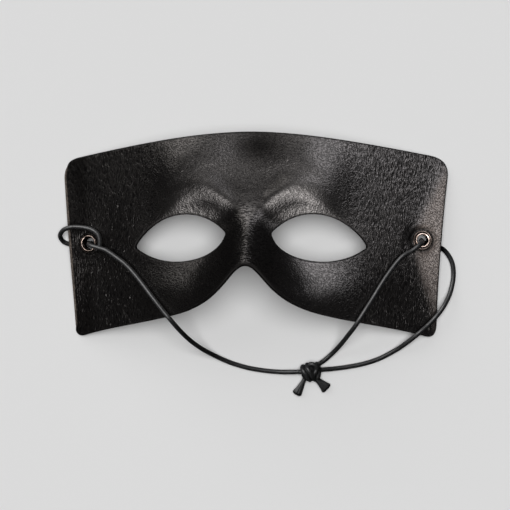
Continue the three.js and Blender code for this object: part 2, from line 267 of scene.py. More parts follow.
def wrap_height(x, y):
    """Height of the plain leather bent round the head, against its middle."""
    v = wing_reach(x, y)
    knee = 35.7 + 0.041 * y
    temple = 0.506 * (ramp(v, knee, 11.6) - ramp(0, knee, 11.6))
    flare = 0.2 * ramp(v, flare_start(y), 2.2)
    half_side = (TOP_CORNER_Y - BOTTOM_CORNER_Y) / 2
    side_arch = 2 * (TOP_CORNER_Y - y) * (y - BOTTOM_CORNER_Y) / half_side ** 2
    upright = -0.0314 * y - 0.0008 * y ** 2
    return upright + flare - temple + side_arch * (v / SIDE_REACH) ** 6


def relief_height(x, y):
    """Height that the moulding adds: forehead, brow, eye sockets, cheeks and nose."""
    side = np.abs(x)
    forehead = 2.63 * bump(side, y, 25.9, 35.8, 16.0, 13.4)
    forehead_dent = -1.42 * bump(x, y, -2, 44.4, 11.1, 11.3)
    middle = 1.27 * bump(x, y, 0, 16.5, 21.9, 8.9)
    brow_line = 23.4 - 0.0291 * (side - 25) ** 2
    brow = 2.03 * bump(side, y, 18.7, brow_line, 14.3, 5.6)
    lid_line = 17.2 - 0.0291 * (side - 25.2) ** 2
    lid = 0.61 * bump(side, y, 25.2, lid_line, 15.9, 3.8)
    outer_brow = 1.57 * bump(side, y, 38.1, 24.9, 9.8, 13.5)
    socket = -3.12 * bump(side, y, 26.2, 0.7, 17.7, 9)
    cheek = 3.28 * bump(side, y, 24.8, -29.1, 27, 11)
    down = 1.5 * np.tanh(ramp(14.5 - y, 0, 3.6) / 45)
    nose = 24.4 * down ** 1.285 * np.exp(-(side / (5.37 + 11.6 * down)) ** 1.76)
    above_eyes = forehead + forehead_dent + middle + brow + lid + outer_brow
    return above_eyes + socket + cheek + nose


def plain_height(x, y):
    return CROWN_HEIGHT + wrap_height(x, y) + relief_height(x, y)


def eyelet_seat(x, y):
    """The flat spot on which an eyelet sits: its middle, slopes and three directions."""
    step = 0.01
    height = plain_height(x, y)
    slope_x = (plain_height(x + step, y) - plain_height(x - step, y)) / (2 * step)
    slope_y = (plain_height(x, y + step) - plain_height(x, y - step)) / (2 * step)
    normal = Vector((-slope_x, -slope_y, 1)).normalized()
    along = Vector((0, 1, 0)).cross(normal).normalized()
    across = normal.cross(along)
    return {
        "x": x, "y": y, "height": float(height), "slopes": (slope_x, slope_y),
        "middle": Vector((x, y, height)), "normal": normal, "along": along, "across": across,
    }


SEATS = {side: eyelet_seat(*place) for side, place in EYELET_PLACES.items()}


def front_height(x, y):
    height = plain_height(x, y)
    for seat in SEATS.values():
        distance = np.hypot(x - seat["x"], y - seat["y"])
        slope_x, slope_y = seat["slopes"]
        plane = seat["height"] + slope_x * (x - seat["x"]) + slope_y * (y - seat["y"])
        free = smoothstep(distance, SEAT_RADIUS, SEAT_BLEND_RADIUS)
        height = plane + (height - plane) * free
    return height


def front_normal(x, y):
    step = 0.05
    slope_x = (front_height(x + step, y) - front_height(x - step, y)) / (2 * step)
    slope_y = (front_height(x, y + step) - front_height(x, y - step)) / (2 * step)
    normal = np.stack([-slope_x, -slope_y, np.ones_like(slope_x)], axis=-1)
    return normal / np.linalg.norm(normal, axis=-1, keepdims=True)


def grain_relief(x, y):
    """Low relief of the grain side: pressed rings round the eyelets, nose creases, pebbles."""
    relief = np.zeros_like(x)
    for seat in SEATS.values():
        distance = np.hypot(x - seat["x"], y - seat["y"])
        across = (distance - PRESSED_RING_RADIUS) / PRESSED_RING_WIDTH
        relief -= PRESSED_RING_DEPTH * np.exp(-across ** 2)
    crease_field = np.array([
        noise.noise(Vector((a * 0.10, b * 0.55, 3.7))) for a, b in zip(x, y)
    ])
    pebble_field = np.array([
        noise.noise(Vector((a * 0.75, b * 0.60, 9.1))) for a, b in zip(x, y)
    ])
    bridge = np.exp(-(x / 8) ** 2) * smoothstep(-y, -26, -14)
    relief += CREASE_HEIGHT * crease_field * bridge
    relief += PEBBLE_HEIGHT * pebble_field
    return relief


def moulded(x, y, depth):
    """Points of the moulded leather, in millimetres, depth below its plain front face."""
    shown = 1 + depth / LEATHER_THICKNESS
    offset = depth + grain_relief(x, y) * shown
    base = np.stack([x, y, front_height(x, y)], axis=-1)
    return base + front_normal(x, y) * offset[:, None]


# Outlines of the flat blank, each walked with the leather on its left

def cubic(points, count):
    t = np.linspace(0, 1, count, endpoint=False)[:, None]
    a, b, c, d = (np.array(p, float) for p in points)
    return (1 - t) ** 3 * a + 3 * (1 - t) ** 2 * t * b + 3 * (1 - t) * t ** 2 * c + t ** 3 * d


def arc_points(outline):
    start = outline["start"]
    pieces = []
    for handle_a, handle_b, end in outline["arcs"]:
        pieces.append(cubic((start, handle_a, handle_b, end), ARC_POINTS))
        start = end
    return np.concatenate(pieces + [np.array([start], float)])


def resampled(loop, step):
    """The closed loop with evenly spaced points."""
    closed = np.concatenate([loop, loop[:1]])
    lengths = np.concatenate([[0], np.cumsum(np.linalg.norm(np.diff(closed, axis=0), axis=1))])
    count = int(round(lengths[-1] / step))
    at = np.linspace(0, lengths[-1], count, endpoint=False)
    return np.stack([np.interp(at, lengths, closed[:, k]) for k in (0, 1)], axis=-1)


def softened(loop, radius):
    """The evenly spaced loop with its corners rounded off."""
    reach = int(math.ceil(3 * radius / LOOP_STEP))
    weights = [math.exp(-0.5 * (k * LOOP_STEP / radius) ** 2) for k in range(-reach, reach + 1)]
    total = sum(w * np.roll(loop, k, axis=0) for k, w in zip(range(-reach, reach + 1), weights))
    return total / sum(weights)


def signed_area(loop):
    x, y = loop[:, 0], loop[:, 1]
    return 0.5 * float(np.sum(x * np.roll(y, -1) - np.roll(x, -1) * y))


def turned(loop, hole):
    """The loop walked so that the leather is on its left."""
    return loop[::-1] if (signed_area(loop) > 0) == hole else loop


def outline_loops():
    half = arc_points(HALF_OUTLINE)
    outer = np.concatenate([half[:-1], (half * (-1, 1))[::-1][:-1]])
    right_eye = arc_points(EYE_OUTLINE)[:-1]
    loops = [turned(outer, False), turned(right_eye, True), turned(right_eye * (-1, 1), True)]
    loops = [softened(resampled(loop, LOOP_STEP), CORNER_SOFTENING) for loop in loops]
    for seat in SEATS.values():
        count = int(round(2 * math.pi * LEATHER_HOLE_RADIUS / LOOP_STEP))
        rim = [
            seat["middle"] + LEATHER_HOLE_RADIUS * (
                math.cos(2 * math.pi * i / count) * seat["along"]
                + math.sin(2 * math.pi * i / count) * seat["across"]
            )
            for i in range(count)
        ]
        loops.append(turned(np.array([point.xy for point in rim]), True))
    return loops


def inward(loop):
    """Unit direction from each point of a loop into the leather."""
    ahead = np.roll(loop, -1, axis=0) - np.roll(loop, 1, axis=0)
    normal = np.stack([-ahead[:, 1], ahead[:, 0]], axis=-1)
    return normal / np.linalg.norm(normal, axis=-1, keepdims=True)


def rawness(loop):
    """1 along the left wing's slanted edge, 0 elsewhere, with soft ends at the corners."""
    x, y = loop[:, 0], loop[:, 1]
    left = smoothstep(-x, 84, 89)
    return left * smoothstep(y, -47.5, -43) * (1 - smoothstep(y, 33, 37))


def edge_rings(loop, is_outer):
    """Rings of points over the leather's edge: for each, the blank's x and y, and the depth."""
    normal = inward(loop)
    raw = rawness(loop) if is_outer else np.zeros(len(loop))
    rings = []
    for (round_in, round_depth), (raw_in, raw_depth) in zip(ROUND_EDGE, SKIVED_EDGE):
        inset = round_in + (raw_in - round_in) * raw
        depth = round_depth + (raw_depth - round_depth) * raw
        flat = loop + normal * inset[:, None]
        rings.append(np.column_stack([flat, depth]))
    return rings


def hex_points(step):
    """Points in staggered rows, over the box round the blank."""
    half_width, half_height = BLANK_HALF_SIZE
    rows = []
    row_height = step * math.sqrt(3) / 2
    for i, y in enumerate(np.arange(-half_height, half_height, row_height)):
        x = np.arange(-half_width, half_width, step) + (i % 2) * step / 2
        rows.append(np.column_stack([x, np.full(len(x), y)]))
    return np.concatenate(rows)


def inside_loops(points, loops):
    """Even-odd test: True for points in the leather."""
    inside = np.zeros(len(points), bool)
    for loop in loops:
        following = np.roll(loop, -1, axis=0)
        for (x0, y0), (x1, y1) in zip(loop, following):
            if y0 == y1:
                continue
            crosses = (points[:, 1] >= min(y0, y1)) & (points[:, 1] < max(y0, y1))
            if not crosses.any():
                continue
            at = x0 + (points[crosses, 1] - y0) * (x1 - x0) / (y1 - y0)
            hit = np.flatnonzero(crosses)[points[crosses, 0] < at]
            inside[hit] ^= True
    return inside


def face_mesh(loops, step):
    """Triangles between the given boundary loops: (interior points, triangles).

    A triangle's numbers count the loops' own points first, loop after loop, then the interior's.
    """
    boundary = np.concatenate(loops)
    tree = kdtree.KDTree(len(boundary))
    for i, (x, y) in enumerate(boundary):
        tree.insert((x, y, 0), i)
    tree.balance()
    candidates = hex_points(step)
    candidates = candidates[inside_loops(candidates, loops)]
    nearest_allowed = 0.6 * step
    clear = [tree.find((x, y, 0))[2] > nearest_allowed for x, y in candidates]
    interior = candidates[np.array(clear)]
    edges = []
    first = 0
    for loop in loops:
        count = len(loop)
        edges += [(first + i, first + (i + 1) % count) for i in range(count)]
        first += count
    points = np.concatenate([boundary, interior])
    _, _, faces, origins, _, _ = delaunay_2d_cdt(
        [Vector(point) for point in points], edges, [], 0, 1e-7, True,
    )
    triangles = np.array([[origins[i][0] for i in face] for face in faces])
    middles = points[triangles].mean(axis=1)
    return interior, triangles[inside_loops(middles, loops)]


def leather_shell():
    """(points, faces, each face's material, each point's place on the blank) of the leather."""
    loops = outline_loops()
    rings = [edge_rings(loop, i == 0) for i, loop in enumerate(loops)]
    ring_count = len(ROUND_EDGE)
    front_loops = [ring[0][:, :2] for ring in rings]
    back_loops = [ring[-1][:, :2] for ring in rings]
    front, front_triangles = face_mesh(front_loops, FRONT_STEP)
    back, back_triangles = face_mesh(back_loops, BACK_STEP)

    # All the rings come first, then the inside of the front, then the inside of the back
    parts = []
    ring_first = []
    for ring in rings:
        ring_first.append(sum(len(part) for part in parts))
        parts += ring
    front_first = sum(len(part) for part in parts)
    parts.append(np.column_stack([front, np.zeros(len(front))]))
    back_first = front_first + len(front)
    parts.append(np.column_stack([back, np.full(len(back), -LEATHER_THICKNESS)]))
    blank = np.concatenate(parts)

    def numbering(level, first_inside, inside_count):
        numbers = [
            np.arange(len(ring[0])) + first + level * len(ring[0])
            for ring, first in zip(rings, ring_first)
        ]
        return np.concatenate(numbers + [np.arange(inside_count) + first_inside])

    faces = numbering(0, front_first, len(front))[front_triangles].tolist()
    kinds = [GRAIN_SIDE] * len(faces)
    for ring, first, loop in zip(rings, ring_first, loops):
        count = len(loop)
        raw = rawness(loop) if first == 0 else np.zeros(count)
        for level in range(ring_count - 1):
            upper = first + level * count
            lower = upper + count
            for i in range(count):
                j = (i + 1) % count
                faces.append([upper + i, lower + i, lower + j, upper + j])
                is_raw = raw[i] > 0.5 and RAW_RINGS[0] <= level < RAW_RINGS[1]
                kinds.append(RAW_EDGE if is_raw else GRAIN_SIDE)
    back_faces = numbering(ring_count - 1, back_first, len(back))[back_triangles[:, ::-1]]
    faces += back_faces.tolist()
    kinds += [FLESH_SIDE] * len(back_faces)

    points = moulded(blank[:, 0], blank[:, 1], blank[:, 2])
    points[:, 2] = np.maximum(points[:, 2], 0)
    return points, faces, kinds, blank


def new_mesh(name, points, faces):
    mesh = bpy.data.meshes.new(name)
    mesh.from_pydata((np.asarray(points) * MM).tolist(), [], faces)
    mesh.polygons.foreach_set("use_smooth", [True] * len(faces))
    mesh.update()
    piece = bpy.data.objects.new(name, mesh)
    bpy.context.collection.objects.link(piece)
    return piece


def add_attribute(piece, name, values):
    attribute = piece.data.attributes.new(name, "FLOAT", "POINT")
    attribute.data.foreach_set("value", np.asarray(values, float))


# Shader helpers

class Nodes:
    """Short ways to add and join shader nodes of one material."""

    def __init__(self, name):
        self.material = bpy.data.materials.new(name)
        self.material.use_nodes = True
        self.tree = self.material.node_tree
        self.tree.nodes.clear()
        self.output = self.add("ShaderNodeOutputMaterial")

    def add(self, kind, **settings):
        node = self.tree.nodes.new(kind)
        for name, value in settings.items():
            setattr(node, name, value)
        return node

    def join(self, source, target):
        self.tree.links.new(source, target)

    def feed(self, socket, value):
        if isinstance(value, bpy.types.NodeSocket):
            self.join(value, socket)
        else:
            socket.default_value = value

    def math(self, operation, a, b, clamp=False):
        node = self.add("ShaderNodeMath", operation=operation, use_clamp=clamp)
        self.feed(node.inputs[0], a)
        self.feed(node.inputs[1], b)
        return node.outputs[0]

    def scaled(self, vector, scale):
        node = self.add("ShaderNodeVectorMath", operation="MULTIPLY")
        self.feed(node.inputs[0], vector)
        node.inputs[1].default_value = scale
        return node.outputs[0]

    def shifted(self, vector, offset):
        node = self.add("ShaderNodeVectorMath", operation="ADD")
        self.feed(node.inputs[0], vector)
        self.feed(node.inputs[1], offset)
        return node.outputs[0]

    def position(self):
        """Place on the piece, in millimetres."""
        coordinate = self.add("ShaderNodeTexCoord")
        return self.scaled(coordinate.outputs["Object"], (1 / MM,) * 3)

    def noise(self, vector, scale, detail, roughness=0.5, colour=False):
        node = self.add("ShaderNodeTexNoise")
        self.feed(node.inputs["Vector"], vector)
        node.inputs["Scale"].default_value = scale
        node.inputs["Detail"].default_value = detail
        node.inputs["Roughness"].default_value = roughness
        return node.outputs["Color" if colour else "Fac"]

    def domes(self, vector, scale):
        """Rounded pebbles, 1 at their tops and 0 in the grooves between them."""
        node = self.add("ShaderNodeTexVoronoi", feature="F1", voronoi_dimensions="2D")
        self.feed(node.inputs["Vector"], vector)
        node.inputs["Scale"].default_value = scale
        fall = self.math("POWER", self.math("MULTIPLY", node.outputs["Distance"], 1.35), 1.6)
        return self.math("SUBTRACT", 1.0, fall, clamp=True)

    def span(self, value, low, high, to_low=0.0, to_high=1.0):
        """The value's range low to high, turned smoothly into to_low to to_high."""
        node = self.add("ShaderNodeMapRange", interpolation_type="SMOOTHSTEP")
        self.feed(node.inputs["Value"], value)
        node.inputs["From Min"].default_value = low
        node.inputs["From Max"].default_value = high
        node.inputs["To Min"].default_value = to_low
        node.inputs["To Max"].default_value = to_high
        return node.outputs["Result"]

    def mix(self, factor, a, b):
        node = self.add("ShaderNodeMix", data_type="FLOAT")
        self.feed(node.inputs[0], factor)
        self.feed(node.inputs[2], a)
        self.feed(node.inputs[3], b)
        return node.outputs[0]

    def mix_colour(self, factor, a, b):
        node = self.add("ShaderNodeMix", data_type="RGBA")
        self.feed(node.inputs[0], factor)
        for socket, value in ((node.inputs[6], a), (node.inputs[7], b)):
            if isinstance(value, tuple):
                socket.default_value = (*value, 1.0)
            else:
                self.join(value, socket)
        return node.outputs[2]

    def attribute(self, name):
        return self.add("ShaderNodeAttribute", attribute_name=name).outputs["Fac"]

    def bump(self, height, distance):
        node = self.add("ShaderNodeBump")
        self.feed(node.inputs["Height"], height)
        node.inputs["Strength"].default_value = 1.0
        node.inputs["Distance"].default_value = distance * MM
        return node.outputs["Normal"]

    def finish(self, colour, roughness, normal=None, **values):
        shader = self.add("ShaderNodeBsdfPrincipled")
        self.join(colour, shader.inputs["Base Color"])
        self.feed(shader.inputs["Roughness"], roughness)
        if normal is not None:
            self.join(normal, shader.inputs["Normal"])
        for name, value in values.items():
            self.feed(shader.inputs[name.replace("_", " ")], value)
        self.join(shader.outputs["BSDF"], self.output.inputs["Surface"])
        return self.material


# Materials

def grain_leather():
    """The grain side: waxed black leather, with pebbles that stretch into streaks on the wings."""
    n = Nodes("grain_leather")
    place = n.position()

    # Height of the grain, 0 in its grooves and 1 on its pebbles
    warp = n.noise(n.scaled(place, (0.30, 0.30, 0.30)), 1.0, 2.0, colour=True)
    bent = n.shifted(place, n.scaled(warp, (2.2, 2.2, 2.2)))
    pebbles = n.noise(n.scaled(bent, (1.0, 1.25, 1.0)), 1.30, 1.2, 0.45)
    streaks = n.noise(n.scaled(bent, (1.80, 0.40, 1.0)), 1.05, 1.0, 0.45)
    long_pebbles = n.domes(n.scaled(bent, (1.60, 0.42, 1.0)), 1.05)
    creases = n.noise(n.scaled(bent, (0.50, 1.60, 1.0)), 1.10, 1.5, 0.45)
    worn_grain = n.noise(place, 1.75, 1.0, 0.5)
    grain = n.mix(n.attribute("wing"), pebbles, streaks)
    grain = n.mix(n.attribute("bridge"), grain, creases)
    grain = n.mix(n.attribute("wear_and_painted_highlight"), grain, worn_grain)
    grain = n.mix(0.16, n.span(grain, 0.28, 0.72), n.domes(bent, 1.5))
    grain = n.mix(n.math("MULTIPLY", n.attribute("wing"), 0.40), grain, long_pebbles)
    coarse = n.attribute("coarse")
    smooth_painted_dark_edge = n.attribute("edge")
    height = n.mix(smooth_painted_dark_edge, grain, 0.5)
    normal = n.bump(n.math("MULTIPLY", height, coarse), 0.085)

    # Black wax, thinner on the pebbles, and rubbed through to grey on the right wing's flare, partly
    # as real wear and partly as a painted highlight
    patches = n.noise(n.scaled(place, (0.05, 0.05, 0.05)), 1.0, 3.0)
    top = n.mix_colour(patches, (0.0026, 0.0025, 0.0026), (0.0048, 0.0045, 0.0043))
    colour = n.mix_colour(grain, (0.0008, 0.0008, 0.0009), top)
    rubbed = n.math("MULTIPLY", n.attribute("wear_and_painted_highlight"), n.span(grain, 0.30, 0.90, 0.30, 1.0))
    colour = n.mix_colour(rubbed, colour, (0.080, 0.069, 0.062))
    # Painted shade: the rounded edges are painted near black and, further down, lose nearly all their
    # sheen, so that they read as a dark line
    colour = n.mix_colour(smooth_painted_dark_edge, colour, (0.0018, 0.0017, 0.0017))

    # Sheen: pebbles are smoother than grooves, and stand out most where the grain is coarse; the
    # grooves' lower sheen is painted shade
    roughness = n.mix(grain, 0.32, 0.21)
    roughness = n.math("ADD", roughness, n.math("MULTIPLY", n.math("SUBTRACT", patches, 0.5), 0.12))
    roughness = n.mix(n.attribute("wear_and_painted_highlight"), roughness, 0.38)
    roughness = n.mix(smooth_painted_dark_edge, roughness, 0.55)
    contrast = n.span(coarse, 0.45, 0.95)
    in_groove = n.mix(contrast, 0.46, 0.22)
    on_pebble = n.mix(contrast, 0.68, 0.90)
    gloss = n.mix(n.span(grain, 0.25, 0.75), in_groove, on_pebble)
    # Painted shade: the sheen is lowered in the listed patches and along the rims
    gloss = n.math("MULTIPLY", gloss, n.attribute("sheen_after_painted_shade"))
    gloss = n.mix(smooth_painted_dark_edge, gloss, 0.07)
    return n.finish(colour, roughness, normal, Specular_IOR_Level=gloss)


def raw_edge():
    """Cut fibres of the left wing's slanted edge."""
    n = Nodes("raw_leather_edge")
    place = n.position()
    fibres = n.noise(n.scaled(place, (2.6, 0.9, 1.6)), 1.0, 4.0, 0.65)
    dashes = n.span(n.noise(n.scaled(place, (1.0, 1.1, 1.0)), 1.2, 2.0), 0.42, 0.62)
    colour = n.mix_colour(n.span(fibres, 0.36, 0.64), (0.010, 0.009, 0.008), (0.135, 0.115, 0.098))
    colour = n.mix_colour(n.math("MULTIPLY", dashes, 0.8), colour, (0.010, 0.009, 0.008))
    normal = n.bump(fibres, 0.25)
    return n.finish(colour, 0.85, normal, Specular_IOR_Level=0.3)


def flesh_side():
    """The back of the leather: a dark suede nap."""
    n = Nodes("flesh_side")
    place = n.position()
    nap = n.noise(n.scaled(place, (1.5, 0.8, 1.5)), 1.3, 5.0, 0.65)
    patches = n.noise(n.scaled(place, (0.06, 0.06, 0.06)), 1.0, 3.0)
    colour = n.mix_colour(patches, (0.020, 0.019, 0.018), (0.040, 0.036, 0.033))
    colour = n.mix_colour(n.math("MULTIPLY", nap, 0.5), colour, (0.075, 0.068, 0.062))
    return n.finish(colour, 0.95, n.bump(nap, 0.22), Specular_IOR_Level=0.2, Sheen_Weight=0.15)


def eyelet_metal():
    """Blackened metal, rubbed to warm bright metal on its rolled rim."""
    n = Nodes("eyelet_metal")
    place = n.position()
    scratches = n.noise(n.scaled(place, (1.0, 1.0, 4.0)), 1.1, 3.0, 0.55)
    tarnish = n.noise(place, 0.45, 3.0)
    bright = n.mix_colour(n.span(tarnish, 0.30, 0.70), (0.24, 0.185, 0.15), (0.70, 0.60, 0.54))
    colour = n.mix_colour(n.attribute("rubbed"), (0.030, 0.025, 0.023), bright)
    roughness = n.span(scratches, 0.3, 0.7, 0.20, 0.32)
    return n.finish(colour, roughness, n.bump(scratches, 0.002), Metallic=1.0)


def elastic_cover():
    """Charcoal braid drawn tight over a rubber core, with paler threads here and there."""
    n = Nodes("elastic_cover")
    place = n.position()
    threads = n.noise(place, 2.2, 3.0, 0.6)
    patches = n.noise(place, 0.5, 3.0)
    groove = n.attribute("groove")
    dark = n.mix_colour(patches, (0.017, 0.017, 0.0175), (0.028, 0.028, 0.029))
    colour = n.mix_colour(n.span(threads, 0.50, 0.62), dark, (0.085, 0.084, 0.086))
    # Painted shade: the braid's grooves, the tails' creases and the knot's core are painted near
    # black; the tails' burnt tips are black as well
    colour = n.mix_colour(n.span(groove, 0.15, 0.75), colour, (0.0035, 0.0035, 0.004))
    roughness = n.mix(threads, 0.52, 0.38)
    return n.finish(colour, roughness, n.bump(threads, 0.05), Specular_IOR_Level=0.8)


# Leather piece

def sheen_with_painted_shade(x, y, rims):
    """How much of the wax's sheen is left, 0 to 1: it is lowered as painted shade in the listed
    patches, along the lower edge and on the rims; each rim is 1 round the eyelets and towards the
    wings' side edges.
    """
    side = np.abs(x)
    from_x, from_y = x - BROW_DIP_MIDDLE[0], y - BROW_DIP_MIDDLE[1]
    dip_x, dip_y = BROW_DIP_DIRECTION
    dip_along = from_x * dip_x + from_y * dip_y
    dip_across = from_y * dip_x - from_x * dip_y
    sheen_after_painted_shade = 1 - BROW_DIP_PAINTED_SHADE * bump(dip_along, dip_across, 0, 0, *BROW_DIP_RADII)
    sheen_after_painted_shade *= 1 - LOWER_EDGE_PAINTED_SHADE * smoothstep(-y, 34, 48)
    for rim in rims:
        sheen_after_painted_shade *= 1 - RIM_PAINTED_SHADE * rim
    for *place, shade_amount in PAINTED_SHADE_PAIRS:
        sheen_after_painted_shade *= 1 - shade_amount * bump(side, y, *place)
    for *place, shade_amount in PAINTED_SHADE_PLACES:
        sheen_after_painted_shade *= 1 - shade_amount * bump(x, y, *place)
    return sheen_after_painted_shade


def leather_masks(blank):
    """Where the grain stretches or is rubbed (partly a painted highlight), where the sheen is lowered
    as painted shade, where an edge is smooth and painted dark as shade.
    """
    x, y = blank[:, 0], blank[:, 1]
    side = np.abs(x)
    reach = wing_reach(x, y)
    right_rim = smoothstep(reach * np.sign(x), 92.0, 93.4)
    left_rim = smoothstep(reach * -np.sign(x), 78, 84)
    pressed = np.zeros_like(x)
    beside_eyelet = np.zeros_like(x)
    for seat in SEATS.values():
        distance = np.hypot(x - seat["x"], y - seat["y"])
        pressed = np.maximum(pressed, 1 - smoothstep(distance, 6.2, 8.5))
        beside_eyelet = np.maximum(beside_eyelet, 1 - smoothstep(distance, 5.2, 6.4))

    # The right wing is rubbed to grey where it flattens out towards its side, least at its corners:
    # partly real wear, partly a painted highlight where the flare faces the right softbox
    wear_and_painted_highlight = np.where(x > 0, smoothstep(reach - flare_start(y), -2.5, 3.5), 0)
    wear_and_painted_highlight *= (1 - 0.55 * smoothstep(-y, 8, 40)) * (1 - 0.7 * smoothstep(y, 22, 35))
    wing = smoothstep(side, 42, 62) * (1 - wear_and_painted_highlight)
    # A ring round each eyelet and the side edge keep no grey, so they stay dark as painted shade
    wear_and_painted_highlight *= (1 - 0.85 * beside_eyelet) * (1 - right_rim)

    # The grain is finest on the brows, and coarse over the nose and on the wings
    brow = bump(side, y, 24, 18, 14, 10)
    creased = np.exp(-(x / 5.5) ** 2) * smoothstep(-y, -20, -6)
    coarse_wing = (0.86 - 0.5 * pressed) * smoothstep(side, 40, 58)
    return {
        "wing": wing,
        "bridge": np.exp(-(x / 7.5) ** 2) * smoothstep(-y, -24, -12),
        "wear_and_painted_highlight": wear_and_painted_highlight,
        "coarse": 0.64 - 0.28 * brow + 0.62 * creased + coarse_wing,
        "sheen_after_painted_shade": sheen_with_painted_shade(x, y, (np.maximum(pressed, left_rim), right_rim)),
        "edge": smoothstep(-blank[:, 2], 0.0, 0.01),
    }


def build_leather():
    points, faces, kinds, blank = leather_shell()
    piece = new_mesh("moulded_leather", points, faces)
    for material in (grain_leather(), raw_edge(), flesh_side()):
        piece.data.materials.append(material)
    piece.data.polygons.foreach_set("material_index", kinds)
    for name, values in leather_masks(blank).items():
        add_attribute(piece, name, values)
    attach(piece, "root")
    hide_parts("mask_shell")
    return piece


# Eyelets

def rolled_section(middle, radii, first, last):
    """Points every 15 degrees over a rolled edge, from the first angle down to the last."""
    return [
        (middle[0] + radii[0] * math.cos(a), middle[1] + radii[1] * math.sin(a))
        for a in np.radians(np.arange(first, last - 1, -15))
    ]


def eyelet_profile(lip_radius, rubbed_lip, rubbed_rim):
    """Half section of the eyelet, and how bright each of its points is rubbed.

    A point is a radius from the eyelet's axis and a height above the leather's front.
    """
    back = -LEATHER_THICKNESS - EYELET_GAP
    rim_radius = 0.5 * (lip_radius + FLANGE_RADIUS) + 0.36
    rim_width = FLANGE_RADIUS - rim_radius
    lip = rolled_section((lip_radius, 0.80), (0.40, 0.38), 180, -30)
    rim = rolled_section((rim_radius, 0.40), (rim_width, 0.32), 150, -60)
    groove = [(0.5 * (lip[-1][0] + rim_radius - rim_width), 0.40)]
    under = [(4.30, 0.02), (BARREL_RADIUS, 0.02)]
    tail = [
        (BARREL_RADIUS, back), (4.2, back), (4.4, back - 0.12), (4.4, back - 0.42),
        (4.1, back - 0.6), (3.3, back - 0.58), (2.9, back - 0.35), (HOLE_RADIUS, back + 0.1),
    ]
    rubbed = [rubbed_lip * smoothstep(height, 0.95, 1.12) for _, height in lip]
    rubbed += [0] * len(groove)
    rubbed += [rubbed_rim * smoothstep(height, 0.55, 0.72) for _, height in rim]
    rubbed += [0] * len(under + tail)
    return lip + groove + rim + under + tail, rubbed


def build_eyelet(side, metal):
    seat = SEATS[side]
    profile, rubbed = eyelet_profile(*EYELET_LIPS[side])
    points = []
    for i in range(EYELET_SEGMENTS):
        angle = 2 * math.pi * i / EYELET_SEGMENTS
        outward = math.cos(angle) * seat["along"] + math.sin(angle) * seat["across"]
        points += [seat["middle"] + radius * outward + height * seat["normal"]
                   for radius, height in profile]
    count = len(profile)
    faces = []
    for i in range(EYELET_SEGMENTS):
        here, there = i * count, (i + 1) % EYELET_SEGMENTS * count
        for k in range(count):
            m = (k + 1) % count
            faces.append([here + k, there + k, there + m, here + m])
    piece = new_mesh(f"rolled_eyelet_{side}", points, faces)
    add_attribute(piece, "rubbed", rubbed * EYELET_SEGMENTS)
    piece.data.materials.append(metal)
    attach(piece, "root")
    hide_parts(f"eyelet_{side}")
    return piece


# Cords

def spline_points(route, step):
    """Evenly spaced points on the smooth curve through the route, and the curve's length."""
    p = np.array(route, float)
    p = np.concatenate([[2 * p[0] - p[1]], p, [2 * p[-1] - p[-2]]])
    t = np.linspace(0, 1, SPLINE_STEPS, endpoint=False)[:, None]
    pieces = []
    for a, b, c, d in zip(p, p[1:], p[2:], p[3:]):
        start, end = 0.5 * (c - a), 0.5 * (d - b)
        pieces.append(
            (2 * t ** 3 - 3 * t ** 2 + 1) * b + (t ** 3 - 2 * t ** 2 + t) * start
            + (3 * t ** 2 - 2 * t ** 3) * c + (t ** 3 - t ** 2) * end
        )
    fine = np.concatenate(pieces + [p[-2:-1]])
    lengths = np.concatenate([[0], np.cumsum(np.linalg.norm(np.diff(fine, axis=0), axis=1))])
    at = np.linspace(0, lengths[-1], int(round(lengths[-1] / step)) + 1)
    return np.stack([np.interp(at, lengths, fine[:, k]) for k in range(3)], axis=-1), lengths[-1]


def sweep_frames(path):
    """Two directions square to the path at each point, without twist."""
    ahead = np.gradient(path, axis=0)
    ahead /= np.linalg.norm(ahead, axis=1, keepdims=True)
    side = np.cross(ahead[0], (0.0, 0.0, 1.0))
    if np.linalg.norm(side) < 0.1:
        side = np.cross(ahead[0], (0.0, 1.0, 0.0))
    sides = []
    for direction in ahead:
        side = side - direction * np.dot(side, direction)
        side /= np.linalg.norm(side)
        sides.append(side)
    sides = np.array(sides)
    return sides, np.cross(ahead, sides)


def braid_height(turn, along):
    """Relief of the braid, 0 in its grooves and 1 on its strands; turn counts turns round."""
    rise = along / BRAID_PITCH
    u = (turn + rise) * BRAID_STRANDS
    v = (turn - rise) * BRAID_STRANDS
    over = (np.floor(u) + np.floor(v)) % 2
    first = np.abs(np.sin(math.pi * u))
    second = np.abs(np.sin(math.pi * v))
    return np.where(over > 0, first, second) ** 0.7


